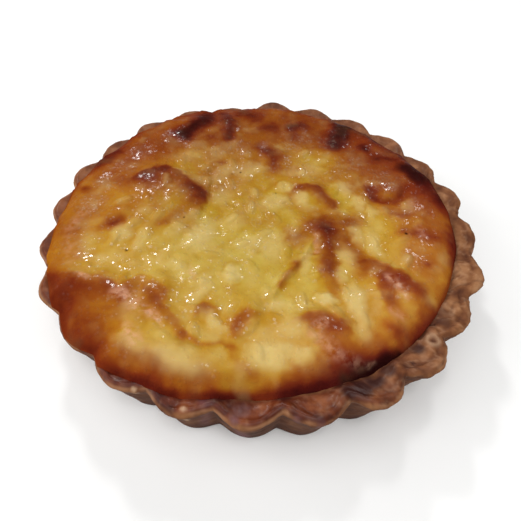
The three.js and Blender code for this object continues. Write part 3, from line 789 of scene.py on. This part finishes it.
def make_filling(material):
    sectors = round(TURN * SKIN_RADIUS / SKIN_SPACING)
    hidden = hidden_rings(sectors)
    shown, insets = zip(*skin_rings(sectors))
    points, faces = loft(hidden + list(shown))
    first = sum(len(one) for one in hidden)
    skin = Skin(points[first:], np.concatenate(insets))

    darkened, char, steps = skin_browning(skin)
    rice, on_grain = rice_relief(skin.x, skin.y)
    clots, furrows = skin_clots(skin)
    crinkles = skin_crinkles(skin)
    darkened = together(darkened, FURROW_TONE * furrows)
    settle = smooth(skin.inset, 0.4, 3)
    middle = smooth(skin.inset, 3, 9) * (1 - 0.85 * smooth(darkened, 0.3, 0.6))
    mottled = 0.26 * smooth(skin.noise(5.5, 41) + 0.4 * skin.noise(2.6, 42), 0.0, 1.0)
    mottled += 0.22 * on_grain * smooth(skin.noise(9, 47), -0.4, 0.4)
    pale = together(0.85 * clots, mottled) * (1 - 0.8 * smooth(darkened, 0.35, 0.7))

    relief = rice * middle + CLOT_RISE * clots - FURROW_DEPTH * furrows + steps
    for line, half_width, height in FOLDS:
        relief += height * bell(distance_to(*skin.marks(0.6), line), half_width)
    relief += SKIN_LUMPS * skin.noise(4.5, 31) * settle
    relief += FINE_SKIN_LUMPS * skin.noise(2.0, 32) * settle
    relief += CRINKLE * crinkles
    relief += CHAR_CRUST * smooth(char, 0.2, 0.9) * skin.noise(1.6, 34)
    points[first:, 2] += relief

    # adds the dark merged line and the painted shade along the skin's edge behind
    darkened = together(darkened, *edge_lines(skin))
    # painted shade in the crinkles' furrows and painted light on their crests
    darkened = np.clip(darkened - PAINTED_CRINKLE_SHADE * crinkles, 0, 1)
    gloss, wet = skin_gloss(skin, darkened, char)
    shown_masks = {
        # browning, with painted shade along the skin's edge and painted shade and light of the crinkles
        "darkening": darkened,
        "char": char,
        # painted highlight: a rosy haze over the front right
        "painted_haze": smooth(skin.out, 30, 44) * near(skin.turn, -46, 50),
        "milky": 1 - smooth(np.hypot(skin.x, 0.8 * (skin.y - 12)), 22, 42),
        "rice": pale,
        "gloss": gloss,
        "wet": wet,
        # painted highlights on the front of puffs
        "painted_sheen": painted(*skin.marks(0.6), PAINTED_SHEEN),
    }
    masks = {key: np.concatenate([np.zeros(first), values]) for key, values in shown_masks.items()}
    masks["darkening"][:first] = HIDDEN_BROWN
    return make_object("custard_skin", points, faces, masks, material)


# ---- The case ----
def smooth_line(line, steps):
    """Points along a line of sections, rounded where it bends."""
    count = len(line)
    out = []
    for i in range(count - 1):
        before = line[max(i - 1, 0)]
        after = line[min(i + 2, count - 1)]
        for n in range(steps[i]):
            t = n / steps[i]
            a, b = line[i], line[i + 1]
            out.append(0.5 * (2 * a + (b - before) * t + (2 * before - 5 * a + 4 * b - after) * t**2
                              + (3 * a - before - 3 * b + after) * t**3))
    out.append(line[-1])
    return np.array(out)


def case_surface(angle):
    """The solid's outside, lip and hollow as levels of points, from the foot up and down again inside."""
    flat = np.ones_like(angle)
    wall = [[outer_radius(angle, share), share * CASE_HEIGHT * flat] for share in WALL_LEVELS]
    foot_outer = [outer_radius(angle, 0) - 0.25 * FOOT_BEVEL, 0.35 * FOOT_BEVEL * flat]
    foot = [outer_radius(angle, 0) - FOOT_BEVEL, 0 * flat]
    line = np.array([foot, foot_outer, *wall, *hollow_section(angle)[:0:-1]])
    shape = smooth_line(line, CASE_STEPS)
    radius, height = shape[:, 0], shape[:, 1]
    return np.stack([radius * np.cos(angle), radius * np.sin(angle), height], axis=2)


def outwards(grid):
    along = np.roll(grid, -1, axis=1) - np.roll(grid, 1, axis=1)
    normal = np.cross(along, np.gradient(grid, axis=0))
    return normal / np.linalg.norm(normal, axis=2)[:, :, None]


def weld_rise(angle, levels, radius):
    """Rise of the glazed pastry that fills the gap between the skin's edge and the lip's crest."""
    crest = outer_radius(angle, 1) - LIP_WIDTH
    reach = skin_reach(angle)
    middle = np.tile(0.5 * (reach + crest), levels)
    half = np.tile(0.5 * np.maximum(crest - reach, 0) + 1.1, levels)
    height = np.tile(spread_table(angle, GLAZE), levels) * WELD * np.minimum(1, half / 3)
    return height * bell(radius - middle, half)


def lip_relief(points, angle, levels):
    """Relief of the lip, and how creased and how veined it is."""
    thick = np.tile(near(angle, THICK_LIP_ANGLE, WRINKLED_SPREAD), levels)
    radius = np.hypot(points[:, 0], points[:, 1])
    wrinkles = 1 - np.abs(noise(points, 4.2, 57) + 0.4 * noise(points, 2.0, 58)) * 3
    lumps = (LIP_LUMPS + THICK_LIP_LUMPS * thick) * layered(points, 6, 2, 51) + 0.1 * noise(points, 1.9, 53)
    lumps += thick * WRINKLES * np.clip(wrinkles, 0, 1) + 0.03 * noise(points, 0.8, 54)
    crackled = np.clip(0.35 + 0.65 * thick, 0, 1)
    crease = bell(noise(points, 4.5, 71), STREAK_WIDTH) * crackled
    vein = bell(noise(points, 3.6, 72) + 0.25 * noise(points, 1.2, 73), STREAK_WIDTH) * crackled
    lumps += VEIN_RISE * vein - CREASE_DEPTH * crease
    groove = radius - np.tile(outer_radius(angle, 1), levels) + GROOVE_INSET + 0.7 * noise(points, 5, 59)
    lumps -= GROOVE_DEPTH * thick * bell(groove, GROOVE_WIDTH)
    lumps += weld_rise(angle, levels, radius)
    for *place, size, ring_height, _ in BUBBLES:
        away = away_from(points, *place)
        lumps += ring_height * bell(away - size, BUBBLE_RING * size)
        lumps -= 1.3 * ring_height * bell(away, 0.5 * size)
    for *place, size in DROPS:
        lumps += DROP_RISE * bell(away_from(points, *place), size)
    return lumps, crease, vein


def away_from(points, x, y):
    return np.hypot(points[:, 0] - x, points[:, 1] - y)


def case_masks(points, lumps, crease, vein):
    x, y, height = points.T
    radius = np.hypot(x, y)
    turn = np.arctan2(y, x)
    top = lip_height(turn)
    wall_radius = outer_radius(turn, np.clip(height / CASE_HEIGHT, 0, 1))
    outside = smooth(wall_radius - radius, 1.2, 0.4) * (1 - smooth(height, top - 2.2, top - 0.8))
    inward = outer_radius(turn, 1) - radius
    upper = smooth(height, top - 2.0, top - 0.8)
    ragged = 0.8 * noise(points, 3.5, 61) + 0.3 * noise(points, 1.3, 62)
    edge = bell(inward - 0.2, 0.3) * upper * smooth(noise(points, 4, 63), -0.3, 0.3)
    glaze = spread_table(turn, GLAZE) * smooth(inward + 0.6 * ragged, 0.0, 0.8) * upper
    beyond = (radius - skin_reach(turn) + 0.6 * ragged) / spread_table(turn, STAIN_WIDTH)
    pale = np.zeros(len(points))
    dark = spots(x, y, CRUST_SPOTS, 0.4, 1.3, 0.5 * ragged)
    for *place, size, _, paleness in BUBBLES:
        away = away_from(points, *place)
        pale = np.maximum(pale, paleness * bell(away - size, BUBBLE_RING * size))
        dark = np.maximum(dark, min(0.7, 3 * paleness) * bell(away, 0.6 * size))
    for *place, size in DROPS:
        pale = np.maximum(pale, 0.55 * np.exp(-((away_from(points, *place) / size) ** 4)))
    return {
        "outside": outside,
        "edge": edge,
        "glaze": glaze,
        "stain": spread_table(turn, STAIN) * (1 - smooth(beyond, 0, 1)) * upper,
        # painted light and shade: the lumps' tops lighter, their hollows darker
        "light": spread_table(turn, CRUST_LIGHT) + 1.2 * np.clip(lumps, -0.5, 0.6) * upper,
        "pale": pale,
        # painted highlights on the glazed lip
        "painted_lip_sheen": spots(x, y, PAINTED_LIP_SHEEN, 0.3, 1.2, 0.4 * ragged),
        "dark": np.maximum(dark, 0.3 * crease) * upper,
        "vein": vein * upper,
        # painted shade, darker towards the foot
        "foot": 1 - smooth(height, 0, 14),
    }


def make_case(material):
    angle = angles(CASE_SECTORS)
    grid = case_surface(angle)
    levels = len(grid)
    surface = grid.reshape(-1, 3)
    lumps, crease, vein = lip_relief(surface, angle, levels)
    wall_lumps = WALL_LUMPS * layered(surface, 7, 2, 55) + 0.04 * noise(surface, 1.5, 56)
    top = np.tile(lip_height(angle), levels)
    relief = mix(wall_lumps, lumps, smooth(surface[:, 2], top - 5, top - 2))
    relief *= smooth(surface[:, 2], 0.0, 1.5)
    moved = surface + outwards(grid).reshape(-1, 3) * relief[:, None]
    rings = [np.array([[0, 0, 0]]), *moved.reshape(levels, -1, 3)]
    rings += [ring_points(angle, INNER_FLOOR_RADIUS * np.ones_like(angle), FLOOR), np.array([[0, 0, FLOOR]])]
    points, faces = loft(rings)

    def whole(values):
        out = np.zeros(len(points))
        out[1:len(values) + 1] = values
        return out

    masks = case_masks(points, whole(lumps), whole(crease), whole(vein))
    return make_object("shortcrust_case", points, faces, masks, material)


# ---- Materials ----
def srgb(red, green, blue):
    """A colour as seen, 0 to 255 a channel, in the linear values that a shader takes."""
    channels = (red / 255, green / 255, blue / 255)
    return tuple(((c + 0.055) / 1.055) ** 2.4 if c > 10 / 255 else c / 12.92 for c in channels) + (1,)


class Shader:
    """Adds nodes to a new material and links them."""

    def __init__(self, name):
        self.material = bpy.data.materials.new(name)
        self.material.use_nodes = True
        self.tree = self.material.node_tree
        self.tree.nodes.clear()
        self.place = self.add("ShaderNodeTexCoord").outputs["Object"]

    def add(self, kind, **settings):
        made = self.tree.nodes.new(kind)
        for key, value in settings.items():
            setattr(made, key, value)
        return made

    def feed(self, node, inputs):
        """Links or sets a node's inputs."""
        for key, value in inputs.items():
            if isinstance(value, bpy.types.NodeSocket):
                self.tree.links.new(value, node.inputs[key])
            else:
                node.inputs[key].default_value = value
        return node.outputs

    def mask(self, name):
        return self.add("ShaderNodeAttribute", attribute_name=name).outputs["Fac"]

    def math(self, operation, a, b=0.0, clamp=False):
        return self.feed(self.add("ShaderNodeMath", operation=operation, use_clamp=clamp), {0: a, 1: b})[0]

    def plus(self, a, b, clamp=False):
        return self.math("ADD", a, b, clamp)

    def minus(self, a, b, clamp=False):
        return self.math("SUBTRACT", a, b, clamp)

    def times(self, a, b, clamp=False):
        return self.math("MULTIPLY", a, b, clamp)

    def grain(self, size_mm, detail):
        inputs = {"Vector": self.place, "Scale": 1000 / size_mm, "Detail": detail, "Roughness": 0.55}
        return self.feed(self.add("ShaderNodeTexNoise"), inputs)["Fac"]

    def cells(self, size_mm):
        inputs = {"Vector": self.place, "Scale": 1000 / size_mm}
        return self.feed(self.add("ShaderNodeTexVoronoi", feature="F1"), inputs)["Distance"]

    def beads(self, spacing_mm, radius):
        """Round drops: 1 at a drop's top, 0 from a radius given as a share of the spacing."""
        away = self.math("DIVIDE", self.cells(spacing_mm), radius)
        return self.minus(1.0, self.times(away, away), clamp=True)

    def ramp(self, value, stops):
        made = self.add("ShaderNodeValToRGB")
        elements = made.color_ramp.elements
        while len(elements) < len(stops):
            elements.new(0.5)
        for element, (position, *colour) in zip(elements, stops):
            element.position = position
            element.color = srgb(*colour)
        return self.feed(made, {"Fac": value})["Color"]

    def blend(self, share, a, b, mode="MIX"):
        made = self.add("ShaderNodeMix", data_type="RGBA", blend_type=mode)
        return self.feed(made, {"Factor": share, "A": a, "B": b})["Result"]

    def cover(self, colour, share, tint):
        """A colour with an even one, given as seen, over it."""
        return self.blend(share, colour, srgb(*tint))

    def between(self, value, low, high):
        made = self.add("ShaderNodeMapRange", clamp=True)
        return self.feed(made, {"Value": value, "To Min": low, "To Max": high})["Result"]

    def bump(self, height, distance_mm, strength):
        inputs = {"Strength": strength, "Distance": distance_mm / 1000, "Height": height}
        return self.feed(self.add("ShaderNodeBump"), inputs)["Normal"]

    def surface(self, **values):
        shader = self.add("ShaderNodeBsdfPrincipled")
        self.feed(shader, {key.replace("_", " "): value for key, value in values.items()})
        self.feed(self.add("ShaderNodeOutputMaterial"), {"Surface": shader.outputs["BSDF"]})
        return self.material


# Tones along a ramp: position, then red, green and blue as seen.
CUSTARD_TONES = [
    (0.0, 194, 160, 72), (0.2, 178, 132, 36), (0.37, 162, 101, 24), (0.54, 140, 72, 19), (0.7, 116, 45, 17),
    (0.85, 84, 25, 14), (1.0, 44, 13, 11),
]
LIP_TONES = [(0.3, 92, 52, 31), (0.45, 118, 73, 44), (0.57, 138, 92, 58), (0.74, 168, 122, 84)]
# The outer wall's own colour, darkened further as painted shade.
SHADED_WALL_TONES = [(0.28, 62, 31, 18), (0.48, 96, 56, 33), (0.7, 138, 92, 58)]
GLAZED_TONES = [(0.32, 50, 17, 10), (0.45, 76, 27, 11), (0.56, 99, 41, 14), (0.7, 128, 66, 31)]
STAIN_TONES = [(0.35, 52, 20, 20), (0.65, 100, 44, 30)]
FLOOR_TONES = [(0.3, 247, 247, 246), (0.7, 250, 250, 249)]
CLOT_COLOUR = (208, 184, 120)
CHAR_COLOUR = (40, 13, 12)
# colour of the painted highlights on puffs
PAINTED_SHEEN_COLOUR = (220, 166, 134)
# colour of the painted glints on the skin's drops
PAINTED_GLINT_COLOUR = (240, 214, 160)
# colour of the painted shade at the wall's foot
PAINTED_FOOT_SHADE_COLOUR = (44, 24, 18)
LIP_EDGE_COLOUR = (176, 128, 92)
VEIN_COLOUR = (190, 150, 118)
# colour of the painted sheen on the glazed lip
PAINTED_LIP_SHEEN_COLOUR = (128, 90, 94)
CRUST_SPOT_COLOUR = (50, 24, 22)
BUBBLE_COLOUR = (212, 180, 146)
# What a part of the skin multiplies its colour by: the middle is milkier; the front right gets a painted
# rosy highlight.
MILKY = (0.93, 1.03, 1.04, 1)
PAINTED_HAZE_TINT = (1.03, 0.97, 1.75, 1)
# Drops on the skin: spacing in mm, radius as a share of it, height as a share of the large drops'.
LARGE_DROPS = (2.0, 0.25)
LARGE_DROP_GROWTH = 0.09  # added to their radius where the skin is wettest
SMALL_DROPS = (1.2, 0.32, 0.6)
WET_DROPS = [(0.95, 0.42, 0.4), (0.7, 0.45, 0.25)]  # only where the skin is wet
DROP_BUMP = 0.085  # height of the large drops
CRUST_BUMP = 0.1


def skin_drops(s):
    wet = s.mask("wet")
    spacing, radius = LARGE_DROPS
    drops = s.beads(spacing, s.plus(radius, s.times(wet, LARGE_DROP_GROWTH)))
    spacing, radius, rise = SMALL_DROPS
    drops = s.plus(drops, s.times(s.beads(spacing, radius), rise))
    for spacing, radius, rise in WET_DROPS:
        drops = s.plus(drops, s.times(s.beads(spacing, radius), s.times(wet, rise)))
    return drops


def custard_material():
    s = Shader("baked_custard")
    # darkening: browning, plus painted shade at the skin's edge and painted shade and light of crinkles
    toned = s.plus(s.mask("darkening"), s.times(s.minus(s.grain(3.4, 2), 0.5), 0.18))
    toned = s.plus(toned, s.times(s.minus(s.grain(1.1, 2), 0.5), 0.06), clamp=True)
    colour = s.ramp(toned, CUSTARD_TONES)
    colour = s.blend(s.mask("milky"), colour, MILKY, "MULTIPLY")
    # painted highlight: a rosy haze over the front right of the skin
    colour = s.blend(s.mask("painted_haze"), colour, PAINTED_HAZE_TINT, "MULTIPLY")
    colour = s.cover(colour, s.times(s.mask("rice"), 0.9), CLOT_COLOUR)
    colour = s.cover(colour, s.mask("char"), CHAR_COLOUR)
    drops = skin_drops(s)
    wet = s.times(drops, 2.5, clamp=True)
    gloss = s.math("MAXIMUM", s.mask("gloss"), s.mask("wet"))
    patchy = s.times(s.minus(s.grain(1.8, 3), 0.36), 4.5, clamp=True)
    # painted highlights: a patchy pinkish sheen on the front of puffs
    colour = s.cover(colour, s.times(s.mask("painted_sheen"), patchy), PAINTED_SHEEN_COLOUR)
    # painted glints: the drops' tops paled where the skin is glossy
    colour = s.cover(colour, s.times(s.times(wet, gloss), 0.06), PAINTED_GLINT_COLOUR)
    return s.surface(
        Base_Color=colour,
        Roughness=s.between(s.grain(3.5, 2), 0.35, 0.5),
        Normal=s.bump(s.plus(drops, s.times(s.grain(1.4, 2), 0.5)), DROP_BUMP, 1.0),
        Subsurface_Weight=0.18,
        Subsurface_Radius=(1.0, 0.55, 0.22),
        Subsurface_Scale=0.0015,
        Specular_IOR_Level=s.times(gloss, 0.1),
        Coat_Weight=s.times(gloss, s.plus(s.times(wet, 0.88), 0.02)),
        Coat_Roughness=0.22,
        Coat_IOR=1.9,
    )


def crust_material():
    s = Shader("shortcrust")
    glaze = s.mask("glaze")
    mottle = s.grain(4.5, 3)
    fine = s.grain(1.1, 3)
    tone = s.plus(s.plus(s.times(mottle, 0.7), s.times(fine, 0.1)), 0.1)
    # the light mask holds painted light on the left and on the lumps' tops
    tone = s.plus(tone, s.times(s.minus(s.mask("light"), 0.5), 0.2))
    # the outer wall's tones hold painted shade
    colour = s.blend(s.mask("outside"), s.ramp(tone, LIP_TONES), s.ramp(tone, SHADED_WALL_TONES))
    # painted shade towards the wall's foot
    colour = s.cover(colour, s.times(s.mask("foot"), 0.35), PAINTED_FOOT_SHADE_COLOUR)
    colour = s.blend(glaze, colour, s.ramp(tone, GLAZED_TONES))
    colour = s.blend(s.times(s.mask("stain"), 0.75), colour, s.ramp(mottle, STAIN_TONES))
    colour = s.cover(colour, s.times(s.mask("edge"), 0.42), LIP_EDGE_COLOUR)
    colour = s.cover(colour, s.times(s.mask("vein"), 0.22), VEIN_COLOUR)
    # painted highlights: a dull purple sheen on the glazed lip
    patchy = s.between(s.grain(1.5, 2), 0.0, 1.6)
    colour = s.cover(colour, s.times(s.mask("painted_lip_sheen"), patchy, clamp=True), PAINTED_LIP_SHEEN_COLOUR)
    colour = s.cover(colour, s.mask("dark"), CRUST_SPOT_COLOUR)
    colour = s.cover(colour, s.mask("pale"), BUBBLE_COLOUR)
    height = s.plus(s.times(s.grain(0.9, 4), 0.8), s.times(s.cells(1.1), 0.4))
    dry = s.minus(1.0, s.times(glaze, 0.8))
    return s.surface(
        Base_Color=colour,
        Roughness=s.minus(s.between(fine, 0.7, 0.95), s.times(glaze, 0.42)),
        Normal=s.bump(s.times(height, dry), CRUST_BUMP, 0.8),
        Specular_IOR_Level=0.15,
        Coat_Weight=s.times(glaze, 0.16),
        Coat_Roughness=0.3,
    )


def floor_material():
    s = Shader("pale_floor")
    return s.surface(Base_Color=s.ramp(s.grain(40, 2), FLOOR_TONES), Roughness=0.8)


# ---- Scene ----
LIGHT_AIM = (0, 0, 0.02)
# Lamps: name, place and width in metres, power.
LIGHTS = [
    ("softbox", (-0.15, -0.5, 1.1), 2.0, 14.5),
    ("lamp", (0.08, -0.3, 1.0), 0.22, 1.6),
    ("window", (-0.3, 0.75, 0.75), 0.12, 2.6),
    ("second_window", (0.35, 0.7, 0.8), 0.12, 1.8),
    ("fill", (-1.1, -0.1, 0.55), 0.9, 5),
]
WORLD_LIGHT = 0.12
FLOOR_HALF = 3.0


def area_light(name, place, size, watts):
    light = bpy.data.lights.new(name, "AREA")
    light.shape = "DISK"
    light.size = size
    light.energy = watts
    back = np.array(place, float) - np.array(LIGHT_AIM, float)
    back /= np.linalg.norm(back)
    right = np.cross((0, 0, 1), back)
    right /= np.linalg.norm(right)
    aim(add_object(name, light), right, np.cross(back, right), back, place)


def make_camera():
    camera = bpy.data.cameras.new("camera")
    camera.sensor_fit = "HORIZONTAL"
    camera.sensor_width = 36
    camera.lens = CAMERA_LENS
    camera.clip_start = 0.005
    holder = add_object("camera", camera)
    aim(holder, CAMERA_RIGHT, CAMERA_UP, np.cross(CAMERA_RIGHT, CAMERA_UP), CAMERA_PLACE / 1000)
    bpy.context.scene.camera = holder


def make_floor():
    mesh = bpy.data.meshes.new("floor")
    half = FLOOR_HALF
    corners = [(-half, -half, 0), (half, -half, 0), (half, half, 0), (-half, half, 0)]
    mesh.from_pydata(corners, [], [(0, 1, 2, 3)])
    mesh.materials.append(floor_material())
    floor = add_object("floor", mesh)


def make_world():
    world = bpy.data.worlds.new("studio")
    bpy.context.scene.world = world
    world.use_nodes = True
    background = world.node_tree.nodes["Background"]
    background.inputs["Color"].default_value = (1, 1, 1, 1)
    background.inputs["Strength"].default_value = WORLD_LIGHT


filling = make_filling(custard_material())
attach(filling, "root")
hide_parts("rice_filling")

case = make_case(crust_material())
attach(case, "root")
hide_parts("pastry_case")

make_floor()
make_world()
make_camera()
for light in LIGHTS:
    area_light(*light)
bpy.context.scene.view_settings.view_transform = "Standard"
bpy.context.scene.view_settings.look = "None"
